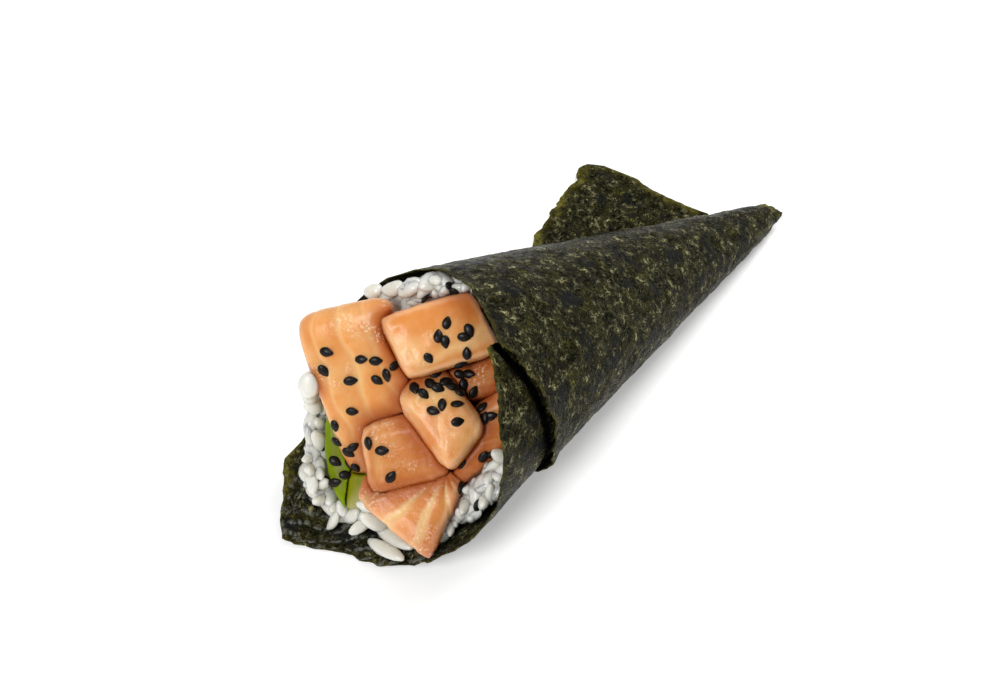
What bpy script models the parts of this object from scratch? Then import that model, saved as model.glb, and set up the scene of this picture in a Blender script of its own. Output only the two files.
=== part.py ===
"""Salmon temaki hand roll: a cone of nori round rice, salmon and avocado, lying on its side.

The cone is laid out from its virtual apex. Its lowest line lies on the table along -X, so the
mouth points to -X and the tip to +X. "phi" goes round the cone from that line, up the far side
(+Y), and "rho" is the distance from the apex along the cone. Named sizes are in millimetres.
"""
import math

import bmesh
import bpy
from mathutils import Euler, Matrix, Vector

MM = 0.001

# ---- the nori -------------------------------------------------------------------------------
HALF_ANGLE = 11.76          # between the cone's axis and its side, degrees
NORI = 0.5                  # thickness of the sheet
TURN_STEP = 1.0             # how far one turn of the sheet lies inside the next
ROLL_START = -152.0         # phi of the sheet's inner edge
ROLL_END = 360.0            # phi where the sheet leaves the cone and lies on the table
FLAT_SPOT = 9.0             # the cone is pressed flat this far before ROLL_END, degrees
COLUMN = 10.0               # step of phi from column to column
ROWS = 13

# The front edge of the sheet as (phi, rho): the short side from the inner edge to the corner
# on the table, then the long side round the top and back under the cone.
FRONT_EDGE = [(-152, 151), (-117, 158), (-70, 158.5), (-43, 166), (-20, 172), (0, 177.5),
              (14.6, 186.4), (29, 177.5), (47, 164), (75, 155), (107, 151), (137, 142.5),
              (177, 143), (209, 148.5), (231, 144), (267, 140), (290, 137), (360, 128)]
# The back edge, which makes the small opening at the tip.
BACK_EDGE = [(-152, 141), (-120, 90), (-70, 50), (0, 30), (60, 24), (120, 21), (177, 20.5),
             (249, 16), (290, 20), (360, 20)]
# The free end on the table: (degrees from the line of contact, front rho, back rho).
FREE_END = [(0, 128, 20), (8, 117, 22), (18, 97, 27), (28.7, 83, 32.5), (37, 76.5, 39),
            (43, 71.5, 45), (48.5, 68.5, 50), (51, 67, 55), (53, 65, 60.5)]
FREE_END_LIFT = 1.0         # height of the free corner over the table
FREE_END_FLAT = 20.0        # up to this angle the free end lies flat

# ---- the rice -------------------------------------------------------------------------------
RICE_INSET = 2.5            # from the cone's outside to the rice
RICE_BACK = 34.0            # where the rice starts behind the tip, along the axis
RICE_FLOOR = 142.0          # middle of the hollow's floor, that carries the filling, along the axis
RICE_FLOOR_LEAN = 12.0      # how much further forward the floor is at its table side
RICE_COLUMNS = 40
# Round the mouth: (phi, front of the rice along the axis, inner radius of the rice).
RICE_RIM = [(-180, 136, 20.0), (-150, 131, 20.5), (-110, 134, 21.5), (-75, 151, 21.5),
            (-50, 157, 21.0), (-20, 163, 21.0), (8, 169, 21.5), (25, 171, 22.5), (45, 166, 22.5),
            (65, 160, 22.0), (90, 153, 20.5), (120, 146, 19.5), (150, 142, 19.5), (180, 136, 20.0)]
RICE_LUMP = 0.7             # unevenness of the rice's front

# ---- the filling ----------------------------------------------------------------------------
# Its own frame: X out of the mouth along the axis, Y to the viewer's side, Z up; the origin is on
# the axis at MOUTH_RHO. Each piece is (centre, size, turn in degrees, corner radius, lean), where
# lean shears its sides in X for each step in Y. Local Z is the face that shows.
MOUTH_RHO = 150.0
SLAB = ((10.0, -11.1, -0.4), (24.3, 40.4, 9), (65, -25, 137), 3.0, -0.06)
TOP_BLOCK = ((-2.7, -4.4, 13.5), (21.9, 15.4, 13), (41, -17, 152), 2.0, -0.17)
RIGHT_BLOCK = ((-7.7, 2.6, 4.3), (17.7, 12.1, 11), (37, -17, 144), 2.5, 0.15)
MIDDLE_CHUNK = ((3.0, 5.6, -0.4), (13.8, 20.3, 14), (19, -38, -177), 3.0, 0.27)
RIGHT_PIECE = ((-3.7, 12.8, -5.0), (17.0, 11.8, 11), (40, -38, 165), 2.5, 0.81)
LOWER_BLOCK = ((10.3, 3.4, -9.2), (19.5, 16.1, 12), (50, -23, 142), 3.0, 0.12)
FAN_SLICE = ((14.0, 9.6, -15.6), (19.6, 21.6, 6), (0, -36, -157), 2.0, 0.29)
PALE_SLICE = ((17.2, -3.4, -23.4), (6.2, 10.1, 7), (52, -15, 142), 1.5, 0.30)
AVOCADO = ((17.2, -10.6, -19.0), (8.6, 26.2, 6), (41, -24, 152), 2.0, 0.23)
FILL_GAP = 0.45             # kept between neighbours in the filling
RICE_GAP = 0.8              # kept between the rice and each piece
CHUNK_RIDGE = 0.55          # how steeply the middle chunk's upper half slopes back
AVOCADO_POINT = 0.75        # how much the avocado slice narrows to its ends

# ---- colours --------------------------------------------------------------------------------
NORI_GREEN = (0.012, 0.014, 0.008)
RICE_WHITE = (0.62, 0.60, 0.52)
SALMON_LIGHT = (0.83, 0.36, 0.14)
SALMON_DEEP = (0.62, 0.22, 0.08)
AVOCADO_GREEN = (0.25, 0.42, 0.03)
AVOCADO_PALE = (0.62, 0.60, 0.28)

BETA = math.radians(HALF_ANGLE)
AXIS = Vector((-math.cos(BETA), 0.0, math.sin(BETA)))
DOWN = Vector((-math.sin(BETA), 0.0, -math.cos(BETA)))
SIDE = Vector((0.0, 1.0, 0.0))
MOUTH = AXIS * (MOUTH_RHO * math.cos(BETA))
# The filling's frame as a matrix, still in millimetres.
MOUTH_FRAME = Matrix((AXIS, -SIDE, -DOWN)).transposed().to_4x4()
MOUTH_FRAME.translation = MOUTH


def table_value(table, x, column=1):
    """Value of a table of (x, values...) rows at x, straight between its rows."""
    for low, high in zip(table, table[1:]):
        if x <= high[0]:
            share = max(0.0, (x - low[0]) / (high[0] - low[0]))
            return low[column] + (high[column] - low[column]) * share
    return table[-1][column]


def ease(x):
    x = min(1.0, max(0.0, x))
    return x * x * (3.0 - 2.0 * x)


def radial(phi):
    return DOWN * math.cos(math.radians(phi)) + SIDE * math.sin(math.radians(phi))


def cone_normal(phi):
    return radial(phi) * math.cos(BETA) - AXIS * math.sin(BETA)


def on_cone(rho, phi, inset):
    """Point of the cone at rho and phi, set in from its outside."""
    along = AXIS * math.cos(BETA) + radial(phi) * math.sin(BETA)
    return along * rho - cone_normal(phi) * inset


def layer_inset(rho, phi):
    """How far the sheet's middle lies inside the cone: less where its front droops to the table."""
    inset = NORI / 2 + TURN_STEP * (ROLL_END - phi) / 360.0
    if phi < 100.0:
        droop = ease((rho - 142.0) / 25.0) * ease((100.0 - abs(phi)) / 60.0)
        inset += (NORI / 2 - inset) * droop
    return inset


def sheet_point(rho, phi):
    """Middle of the sheet and its outward normal, on the cone or past it on the table."""
    if phi <= ROLL_END:
        point = on_cone(rho, phi, layer_inset(rho, phi))
        if phi > ROLL_END - 90.0:
            rise = ease((ROLL_END - FLAT_SPOT - phi) / (2 * FLAT_SPOT))
            point.z = NORI / 2 + (point.z - NORI / 2) * rise
        return point, cone_normal(phi)
    angle = math.degrees(math.radians(phi - ROLL_END) * math.sin(BETA))
    corner = FREE_END[-1][0]
    lift = FREE_END_LIFT * ease((angle - FREE_END_FLAT) / (corner - FREE_END_FLAT))
    turn = math.radians(angle)
    point = Vector((-rho * math.cos(turn), rho * math.sin(turn), NORI / 2 + lift))
    return point, Vector((0.0, 0.0, -1.0))


def sheet_columns():
    """Every column of the sheet as (phi, front rho, back rho)."""
    steps = int((ROLL_END - ROLL_START) / COLUMN) + 1
    phis = {ROLL_START + (ROLL_END - ROLL_START) * i / steps for i in range(steps + 1)}
    corner = max(FRONT_EDGE, key=lambda row: row[1])[0]
    near = min(phis, key=lambda phi: abs(phi - corner))
    phis = sorted((phis - {near}) | {corner})
    columns = [(phi, table_value(FRONT_EDGE, phi), table_value(BACK_EDGE, phi)) for phi in phis]
    for angle, front, back in FREE_END[1:]:
        phi = ROLL_END + math.degrees(math.radians(angle) / math.sin(BETA))
        columns.append((phi, front, back))
    return columns


def material(name, color, roughness):
    mat = bpy.data.materials.new(name)
    mat.use_nodes = True
    shader = mat.node_tree.nodes["Principled BSDF"]
    shader.inputs["Base Color"].default_value = (*color, 1.0)
    shader.inputs["Roughness"].default_value = roughness
    shader.inputs["Metallic"].default_value = 0.0
    mat.diffuse_color = (*color, 1.0)
    return mat


def add_object(name, bm, mat=None):
    """Turn a bmesh drawn in millimetres into an object in metres: without a material, a cutter."""
    bmesh.ops.recalc_face_normals(bm, faces=bm.faces)
    bmesh.ops.scale(bm, vec=(MM, MM, MM), verts=bm.verts)
    mesh = bpy.data.meshes.new(name)
    bm.to_mesh(mesh)
    bm.free()
    mesh.shade_smooth()
    mesh.set_sharp_from_angle(angle=math.radians(50))
    obj = bpy.data.objects.new(name, mesh)
    bpy.context.collection.objects.link(obj)
    if mat:
        mesh.materials.append(mat)
    else:
        obj.hide_render = True
        obj.display_type = 'WIRE'
    return obj


def bridge(bm, ring, following, closed=True):
    """Faces between two rows of vertices of the same length."""
    count = len(ring)
    for i in range(count if closed else count - 1):
        j = (i + 1) % count
        bm.faces.new((ring[i], ring[j], following[j], following[i]))


def nori_wrap(mat):
    """The sheet as one closed solid, wound twice round the cone."""
    bm = bmesh.new()
    inner, outer = [], []
    for phi, front, back in sheet_columns():
        inner_column, outer_column = [], []
        for row in range(ROWS):
            rho = back + (front - back) * row / (ROWS - 1)
            middle, normal = sheet_point(rho, phi)
            inner_column.append(bm.verts.new(middle - normal * NORI / 2))
            outer_column.append(bm.verts.new(middle + normal * NORI / 2))
        inner.append(inner_column)
        outer.append(outer_column)
    for side in (inner, outer):
        for column, following in zip(side, side[1:]):
            bridge(bm, column, following, closed=False)
    edge_in = inner[0] + [c[-1] for c in inner[1:-1]] + inner[-1][::-1] + [c[0] for c in inner[-2:0:-1]]
    edge_out = outer[0] + [c[-1] for c in outer[1:-1]] + outer[-1][::-1] + [c[0] for c in outer[-2:0:-1]]
    bridge(bm, edge_in, edge_out)
    return add_object("nori_wrap", bm, mat)


def rice_radius(along):
    return along * math.tan(BETA) - RICE_INSET / math.cos(BETA)


def rice_bed(mat):
    """The rice: a cone with a hollow in its uneven front, where the filling sits."""
    rows = []
    for k in range(RICE_COLUMNS):
        phi = -180.0 + 360.0 * k / RICE_COLUMNS
        turn = math.radians(phi)
        lump = RICE_LUMP * (math.sin(5 * turn + 0.6) + 0.6 * math.sin(9 * turn + 2.0))
        front = table_value(RICE_RIM, phi) + lump
        hollow = table_value(RICE_RIM, phi, 2) + 0.4 * lump
        profile = []
        for share in (0.0, 0.2, 0.4, 0.6, 0.8, 0.92):
            along = RICE_BACK + (front - RICE_BACK) * share
            profile.append((along, rice_radius(along)))
        edge = rice_radius(front)
        lip = min(hollow, edge - 1.6)
        profile += [(front - 1.5, rice_radius(front - 1.5)), (front, edge - 0.2 * (edge - lip)),
                    (front - 0.3, lip + 0.25 * (edge - lip)), (front - 2.0, lip)]
        lean = RICE_FLOOR_LEAN * math.cos(turn)
        floor = min(RICE_FLOOR + lean, front - 5.0)
        for share in (0.5, 0.9):
            along = front - 2.0 + (floor - front + 2.0) * share
            profile.append((along, min(hollow, rice_radius(along) - 1.6)))
        profile += [(floor, min(hollow, rice_radius(floor) - 1.6) - 1.0), (RICE_FLOOR + lean * 0.4, 9.0)]
        rows.append([AXIS * along + radial(phi) * radius for along, radius in profile])
    bm = bmesh.new()
    rings = [[bm.verts.new(row[i]) for row in rows] for i in range(len(rows[0]))]
    for ring, following in zip(rings, rings[1:]):
        bridge(bm, ring, following)
    for ring, along in ((rings[0], RICE_BACK - 1.5), (rings[-1], RICE_FLOOR)):
        middle = bm.verts.new(AXIS * along)
        for i in range(RICE_COLUMNS):
            bm.faces.new((middle, ring[i], ring[(i + 1) % RICE_COLUMNS]))
    return add_object("rice_bed", bm, mat)


def chunk_ridge(full, half):
    """The upper half of the face slopes back from a ridge through its middle."""
    full.z -= CHUNK_RIDGE * max(0.0, (full.x + full.y) / 2 - 1.0) * (0.5 + full.z / (2 * half.z))


def avocado_lens(full, half):
    """Both ends run to a blunt point."""
    full.x *= 1.0 - AVOCADO_POINT * abs(full.y / half.y) ** 2.2


def rounded_block(name, piece, mat=None, grow=0.0, cuts=4, shape=None):
    """A cut block with rounded edges in the filling's frame."""
    centre, size, turn, corner, lean = piece
    corner += grow
    half = Vector(size) / 2 + Vector((grow, grow, grow))
    bm = bmesh.new()
    bmesh.ops.create_cube(bm, size=2.0)
    bmesh.ops.subdivide_edges(bm, edges=bm.edges, cuts=cuts, use_grid_fill=True)
    turned = Euler([math.radians(a) for a in turn]).to_matrix().to_4x4()
    place = MOUTH_FRAME @ Matrix.Translation(centre) @ turned
    for vert in bm.verts:
        full = Vector(c * h for c, h in zip(vert.co, half))
        core = Vector(max(-(h - corner), min(h - corner, c)) for c, h in zip(full, half))
        away = full - core
        if away.length > 0:
            full = core + away.normalized() * corner
        if shape:
            shape(full, half)
        full.x += lean * full.y
        vert.co = place @ full
    return add_object(name, bm, mat)


def make_room(host, guest):
    """Cut a guest, already grown by the gap, out of its host."""
    cut = host.modifiers.new("room_" + guest.name, 'BOOLEAN')
    cut.operation = 'DIFFERENCE'
    cut.object = guest


def main():
    for obj in list(bpy.data.objects):
        bpy.data.objects.remove(obj, do_unlink=True)
    nori = material("nori", NORI_GREEN, 0.5)
    rice = material("rice", RICE_WHITE, 0.35)
    salmon = material("salmon", SALMON_LIGHT, 0.3)
    salmon_deep = material("salmon_deep", SALMON_DEEP, 0.3)
    avocado = material("avocado", AVOCADO_GREEN, 0.4)
    pale = material("avocado_pale", AVOCADO_PALE, 0.35)

    nori_wrap(nori)
    bed = rice_bed(rice)
    # From the piece that lies on top to the one underneath: each later piece gives way.
    filling = [("salmon_middle_chunk", MIDDLE_CHUNK, salmon, 5, chunk_ridge),
               ("salmon_top_block", TOP_BLOCK, salmon, 4, None),
               ("salmon_lower_block", LOWER_BLOCK, salmon, 4, None),
               ("salmon_fan_slice", FAN_SLICE, salmon, 4, None),
               ("salmon_right_block", RIGHT_BLOCK, salmon_deep, 4, None),
               ("salmon_right_piece", RIGHT_PIECE, salmon_deep, 4, None),
               ("salmon_slab", SLAB, salmon, 6, None),
               ("pale_slice", PALE_SLICE, pale, 3, None),
               ("avocado_slice", AVOCADO, avocado, 4, avocado_lens)]
    rooms = []
    for name, piece, mat, cuts, shape in filling:
        block = rounded_block(name, piece, mat, cuts=cuts, shape=shape)
        for room in rooms:
            make_room(block, room)
        rooms.append(rounded_block("room_" + name, piece, cuts=cuts, shape=shape, grow=FILL_GAP))
        make_room(bed, rounded_block("pocket_" + name, piece, cuts=3, shape=shape, grow=RICE_GAP))

    parts = [obj for obj in bpy.data.objects if not obj.hide_render]
    corners = [v.co for obj in parts for v in obj.data.vertices]
    low = Vector(min(c[i] for c in corners) for i in range(3))
    high = Vector(max(c[i] for c in corners) for i in range(3))
    for obj in bpy.data.objects:
        obj.location = (-(low.x + high.x) / 2, -(low.y + high.y) / 2, -low.z)


main()
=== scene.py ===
"""Dresses the salmon temaki hand roll: nori, rice, salmon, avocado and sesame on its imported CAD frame.

The nori is drawn in millimetres from the cone's virtual apex, as in the part's own drawing: the
cone's lowest line lies on the table along -X, phi goes round the cone in degrees from that line up
its far side, and rho is the distance from the apex along the cone.
"""

import math
import random
from collections import namedtuple

import bmesh
import bpy
import numpy as np
from mathutils import Matrix, Vector, noise
from mathutils.bvhtree import BVHTree


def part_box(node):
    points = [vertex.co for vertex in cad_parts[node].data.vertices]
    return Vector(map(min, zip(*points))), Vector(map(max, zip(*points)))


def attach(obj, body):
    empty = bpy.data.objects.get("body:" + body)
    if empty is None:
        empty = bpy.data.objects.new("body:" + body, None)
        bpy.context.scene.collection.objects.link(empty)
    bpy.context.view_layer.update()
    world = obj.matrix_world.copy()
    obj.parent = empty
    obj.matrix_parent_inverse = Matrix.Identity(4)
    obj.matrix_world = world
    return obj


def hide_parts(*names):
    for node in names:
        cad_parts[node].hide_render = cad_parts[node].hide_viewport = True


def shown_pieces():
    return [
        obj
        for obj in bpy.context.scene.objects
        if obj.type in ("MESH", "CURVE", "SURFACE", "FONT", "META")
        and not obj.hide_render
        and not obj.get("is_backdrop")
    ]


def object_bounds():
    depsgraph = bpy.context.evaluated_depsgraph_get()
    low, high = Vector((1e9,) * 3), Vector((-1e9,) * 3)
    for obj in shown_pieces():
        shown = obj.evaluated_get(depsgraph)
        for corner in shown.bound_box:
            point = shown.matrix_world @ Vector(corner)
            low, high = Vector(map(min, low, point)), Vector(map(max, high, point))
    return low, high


bl_info = {
    "name": "Salmon Temaki Hand Roll",
    "version": (1, 0, 0),
    "blender": (4, 5, 0),
    "location": "View3D > Sidebar > Hand Roll",
    "description": "Dresses a hand roll with nori, rice grains, salmon, avocado and sesame",
    "category": "Object",
}

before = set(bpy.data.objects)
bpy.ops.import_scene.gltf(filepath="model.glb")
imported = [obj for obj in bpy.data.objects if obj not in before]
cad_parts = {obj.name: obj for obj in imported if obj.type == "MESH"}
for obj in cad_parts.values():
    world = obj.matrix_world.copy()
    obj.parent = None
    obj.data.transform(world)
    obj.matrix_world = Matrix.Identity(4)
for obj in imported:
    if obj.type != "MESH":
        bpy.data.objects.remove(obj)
CAD_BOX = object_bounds()
NORI_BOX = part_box("nori_wrap")

MM = 0.001
DEEP_NODES = ("salmon_right_block", "salmon_right_piece")
SALMON_NODES = ("salmon_slab", "salmon_top_block", "salmon_middle_chunk", "salmon_lower_block",
                "salmon_fan_slice") + DEEP_NODES
FILLING_NODES = SALMON_NODES + ("avocado_slice", "pale_slice")

# ---- the roll's own drawing ----
HALF_ANGLE = math.radians(11.76)
SIN, COS = math.sin(HALF_ANGLE), math.cos(HALF_ANGLE)
AXIS = np.array((-COS, 0.0, SIN))
DOWN = np.array((-SIN, 0.0, -COS))
SIDE = np.array((0.0, 1.0, 0.0))
APEX = Vector((NORI_BOX[1].x + 15.45 * MM, NORI_BOX[0].y + 31.02 * MM, NORI_BOX[0].z))
# A turn lies this far inside the next one, and this many degrees each side of the lowest line
# are pressed flat on the table.
TURN_STEP = 1.0
FLAT_SPOT = 9.0
# Phi where the sheet starts and where it leaves the cone for the table.
ROLL_START, ROLL_END = -152.0, 360.0
# Phi and rho along the sheet's two long edges.
FRONT_EDGE = ((-152, 151), (-117, 158), (-70, 159.5), (-43, 167.6), (-20, 173.8), (0, 178.8),
              (14.6, 186.4), (27, 180.5), (38, 176), (41.5, 174.5), (42.8, 170), (47, 167),
              (50.5, 165.3), (52.5, 161), (75, 155), (107, 151), (137, 142.5),
              (177, 143), (209, 148.5), (231, 144), (267, 140), (290, 137), (360, 128))
BACK_EDGE = ((-152, 141), (-120, 90), (-70, 50), (0, 30), (60, 24), (120, 21), (177, 20.5),
             (249, 16), (290, 20), (360, 20))
# The loose end on the table: degrees round the apex, and rho of the front and the back edge.
FREE_END = ((0, 128, 20), (8, 117, 22), (18, 97, 27), (28.7, 83, 32.5), (37, 76.5, 39),
            (43, 71.5, 45), (48.5, 68.5, 50), (51, 67, 55), (53, 65, 60.5))
# The sheet's mesh: columns under the seam, round the cone and on the table, and rows across.
COLUMNS = (40, 276, 62)
ROWS = 124
FINE_FROM = -60.0
# How much closer the rows lie to each other at the front edge.
ROW_BOW = 0.35
# The outer layer's front edge stands off and is torn most between these two phi.
SEAM = (205.0, 300.0)
# The sheet dries out from the first of these to the second, on its way to the loose end.
LOOSE_FROM = (ROLL_END - 10.0, ROLL_END + 20.0)
# The sheet's least height over the table in millimetres, and its texture's scale.
TABLE_GAP = 0.02
UV_PER_MM = 0.01


# ---- small helpers ----
def ramp(x, start, end):
    """0 as far as the start, 1 from the end on and smooth between. The end may be the lower one."""
    share = np.clip((x - start) / (end - start), 0.0, 1.0)
    return share * share * (3.0 - 2.0 * share)


def row_value(table, x, column=1):
    """Value of a table's column at x, straight between its rows."""
    return np.interp(x, [row[0] for row in table], [row[column] for row in table])


def in_box(low, high, shares):
    """A place in a box, from its shares of the way across in X, Y and Z."""
    return Vector(l + (h - l) * f for l, h, f in zip(low, high, shares))


def rough(points, scale, seed=0.0, detail=3):
    """Smooth uneven values from about -1 to 1, one for each point."""
    shift = Vector((seed * 17.3, seed * 5.1, seed * 9.7))
    return np.array([noise.fractal(Vector(p) / scale + shift, 1.0, 2.0, detail) for p in points])


def select_only(obj):
    if bpy.context.mode != 'OBJECT':
        bpy.ops.object.mode_set(mode='OBJECT')
    bpy.ops.object.select_all(action='DESELECT')
    bpy.context.view_layer.objects.active = obj
    obj.select_set(True)


def edit_whole(obj, *steps):
    """Run edit-mode operators, each with its settings, on the whole mesh."""
    select_only(obj)
    bpy.ops.object.mode_set(mode='EDIT')
    bpy.ops.mesh.select_all(action='SELECT')
    for step, settings in steps:
        step(**settings)
    bpy.ops.object.mode_set(mode='OBJECT')


def modify(obj, kind, **settings):
    """Add one modifier and apply it."""
    modifier = obj.modifiers.new(kind.lower(), kind)
    for key, value in settings.items():
        setattr(modifier, key, value)
    select_only(obj)
    bpy.ops.object.modifier_apply(modifier=modifier.name)


def discard(obj):
    mesh = obj.data
    bpy.data.objects.remove(obj)
    bpy.data.meshes.remove(mesh)


def set_places(obj, places):
    obj.data.vertices.foreach_set("co", np.asarray(places, dtype=np.float32).ravel())
    obj.data.update()


def get_places(obj):
    places = np.empty(len(obj.data.vertices) * 3, dtype=np.float32)
    obj.data.vertices.foreach_get("co", places)
    return places.reshape(-1, 3).astype(float)


def normals_of(obj):
    return np.array([v.normal for v in obj.data.vertices])


def push_out(obj, heights):
    """Move each place along its normal by its own height in millimetres."""
    set_places(obj, get_places(obj) + normals_of(obj) * (heights * MM)[:, None])


def add_value(obj, name, values):
    """Store one number for each vertex, for a material to read."""
    layer = obj.data.attributes.new(name, 'FLOAT', 'POINT')
    layer.data.foreach_set("value", np.asarray(values, dtype=np.float32))


def copy_of_node(node, name):
    """A CAD node's shape as a new object, with its loose triangles merged."""
    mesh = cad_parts[node].data.copy()
    mesh.name = name
    mesh.materials.clear()
    obj = bpy.data.objects.new(name, mesh)
    bpy.context.collection.objects.link(obj)
    edit_whole(obj, (bpy.ops.mesh.remove_doubles, {"threshold": 0.01 * MM}),
               (bpy.ops.mesh.normals_make_consistent, {"inside": False}))
    return obj


def finish_piece(obj, slot, nodes, *materials):
    """Give a piece its materials and its body, and hide the CAD nodes it stands for; its slot is not
    used.
    """
    obj.data.materials.clear()
    for mat in materials:
        obj.data.materials.append(mat)
    select_only(obj)
    bpy.ops.object.shade_smooth()
    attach(obj, "root")
    if nodes:
        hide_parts(*nodes)


def neighbours_average(obj):
    """A function that averages values over the vertices joined to each vertex."""
    ends = np.empty(len(obj.data.edges) * 2, dtype=np.int32)
    obj.data.edges.foreach_get("vertices", ends)
    a, b = ends[0::2], ends[1::2]
    count = np.bincount(ends, minlength=len(obj.data.vertices))

    def average(values):
        columns = values.reshape(len(values), -1)
        sums = [np.bincount(a, weights=c[b], minlength=len(values)) +
                np.bincount(b, weights=c[a], minlength=len(values)) for c in columns.T]
        return (np.stack(sums, axis=1) / np.maximum(count, 1)[:, None]).reshape(values.shape)
    return average



def tree_of(obj):
    """An object's surface, to find nearest places on."""
    bm = bmesh.new()
    bm.from_mesh(obj.data)
    tree = BVHTree.FromBMesh(bm)
    bm.free()
    return tree


# ---- materials ----
class Tree:
    """Adds nodes to a material or a node group with few words."""

    def __init__(self, tree):
        self.tree = tree

    def feed(self, socket, value):
        """Link a socket to another one, or set its constant. A colour needs only three numbers."""
        if isinstance(value, bpy.types.NodeSocket):
            self.tree.links.new(value, socket)
        elif socket.type == 'RGBA':
            socket.default_value = (*value, 1.0)
        else:
            socket.default_value = value

    def node(self, kind, inputs=None, **settings):
        made = self.tree.nodes.new(kind)
        for key, value in settings.items():
            setattr(made, key, value)
        for key, value in (inputs or {}).items():
            self.feed(made.inputs[key], value)
        return made

    def plug(self, node, **inputs):
        """Feed a node's inputs by name, with _ for each space in the name."""
        for key, value in inputs.items():
            self.feed(node.inputs[key.replace("_", " ")], value)
        return node

    def math(self, operation, a, b=0.0):
        return self.node("ShaderNodeMath", {0: a, 1: b}, operation=operation).outputs[0]

    def times(self, a, b):
        return self.math('MULTIPLY', a, b)

    def plus(self, a, b):
        return self.math('ADD', a, b)

    def minus(self, a, b):
        return self.math('SUBTRACT', a, b)

    def between(self, value, low, high, to_low=0.0, to_high=1.0):
        """Smooth step of a value from one range to another."""
        ends = {"Value": value, "From Min": low, "From Max": high, "To Min": to_low, "To Max": to_high}
        return self.node("ShaderNodeMapRange", ends, interpolation_type='SMOOTHSTEP').outputs["Result"]

    def noise(self, where, scale, detail=3.0, roughness=0.5, distortion=0.0):
        inputs = {"Vector": where, "Scale": scale, "Detail": detail, "Roughness": roughness,
                  "Distortion": distortion}
        return self.node("ShaderNodeTexNoise", inputs).outputs["Fac"]

    def uneven(self, where, scale, low, high):
        """A share that wanders between two values, for roughness."""
        return self.between(self.noise(where, scale, 2.0), 0.3, 0.7, low, high)

    def mix(self, share, a, b):
        """Colour a, with a share of colour b over it."""
        made = self.node("ShaderNodeMix", data_type='RGBA', clamp_factor=True)
        for key, value in ((0, share), (6, a), (7, b)):
            self.feed(made.inputs[key], value)
        return made.outputs[2]

    def bump(self, height, strength, distance):
        inputs = {"Strength": strength, "Distance": distance, "Height": height}
        return self.node("ShaderNodeBump", inputs).outputs[0]

    def attribute(self, name):
        return self.node("ShaderNodeAttribute", attribute_name=name).outputs["Fac"]

    def object_place(self, axis=None):
        """Places in the object, or one axis of them."""
        where = self.node("ShaderNodeTexCoord").outputs["Object"]
        return self.node("ShaderNodeSeparateXYZ", {0: where}).outputs[axis] if axis else where

    def blotches(self, where, scale, detail, middle, softness):
        made = self.node("ShaderNodeGroup", node_tree=shared_group("blotches", BLOTCHES, blotches))
        return self.plug(made, Vector=where, Scale=scale, Detail=detail, Middle=middle,
                         Softness=softness).outputs[0]

    def fibres(self, where, scale, width, wander):
        made = self.node("ShaderNodeGroup", node_tree=shared_group("fibres", FIBRES, fibres))
        return self.plug(made, Vector=where, Scale=scale, Width=width, Wander=wander).outputs[0]


# The shared effects' inputs after Vector, with their defaults.
BLOTCHES = {"Scale": 300.0, "Detail": 4.0, "Middle": 0.5, "Softness": 0.15}
FIBRES = {"Scale": 500.0, "Width": 0.03, "Wander": 1.0}


def shared_group(name, inputs, build):
    """A node group from Vector and its own inputs to one Share, made when it is first used."""
    group = bpy.data.node_groups.get(name)
    if group is None:
        group = bpy.data.node_groups.new(name, 'ShaderNodeTree')
        group.interface.new_socket("Vector", in_out='INPUT', socket_type='NodeSocketVector')
        for label, default in inputs.items():
            socket = group.interface.new_socket(label, in_out='INPUT', socket_type='NodeSocketFloat')
            socket.default_value = default
        group.interface.new_socket("Share", in_out='OUTPUT', socket_type='NodeSocketFloat')
        tree = Tree(group)
        share = build(tree, tree.node("NodeGroupInput").outputs)
        tree.feed(tree.node("NodeGroupOutput").inputs["Share"], share)
    return group


def blotches(tree, into):
    """Soft uneven patches: 0 well under the middle of a noise, 1 well over it."""
    value = tree.noise(into["Vector"], into["Scale"], into["Detail"], 0.6)
    low = tree.minus(into["Middle"], into["Softness"])
    return tree.between(value, low, tree.plus(into["Middle"], into["Softness"]))


def fibres(tree, into):
    """Thin wandering threads in three layers, broken into short lengths."""
    total = None
    for shift, stretch in ((0.0, 1.0), (3.1, 0.78), (7.7, 1.3)):
        moved = tree.node("ShaderNodeVectorMath", {0: into["Vector"], 1: (shift, shift * 0.7, 0.0)},
                          operation='ADD').outputs[0]
        value = tree.noise(moved, tree.times(into["Scale"], stretch), 1.0, 0.4, into["Wander"])
        off = tree.math('ABSOLUTE', tree.minus(value, 0.5))
        line = tree.between(off, into["Width"], tree.times(into["Width"], 0.3))
        short = tree.between(tree.noise(moved, tree.times(into["Scale"], 1.1), 1.0), 0.47, 0.55)
        line = tree.times(line, short)
        total = line if total is None else tree.math('MAXIMUM', total, line)
    return total


def new_material(name):
    """A new material, its Tree and its Principled shader."""
    mat = bpy.data.materials.new(name)
    mat.use_nodes = True
    return mat, Tree(mat.node_tree), mat.node_tree.nodes["Principled BSDF"]


def scaled(color, factor):
    return tuple(c * factor for c in color)


# ---- settings ----
def number(name, description, default, **more):
    return bpy.props.FloatProperty(name=name, description=description, default=default, **more)


def length(name, description, default):
    """A length in millimetres."""
    return number(name, description, default, min=0.0)


def colour(name, description, default):
    return bpy.props.FloatVectorProperty(name=name, description=description, default=default,
                                         subtype='COLOR', size=3, min=0.0, max=1.0)


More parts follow.
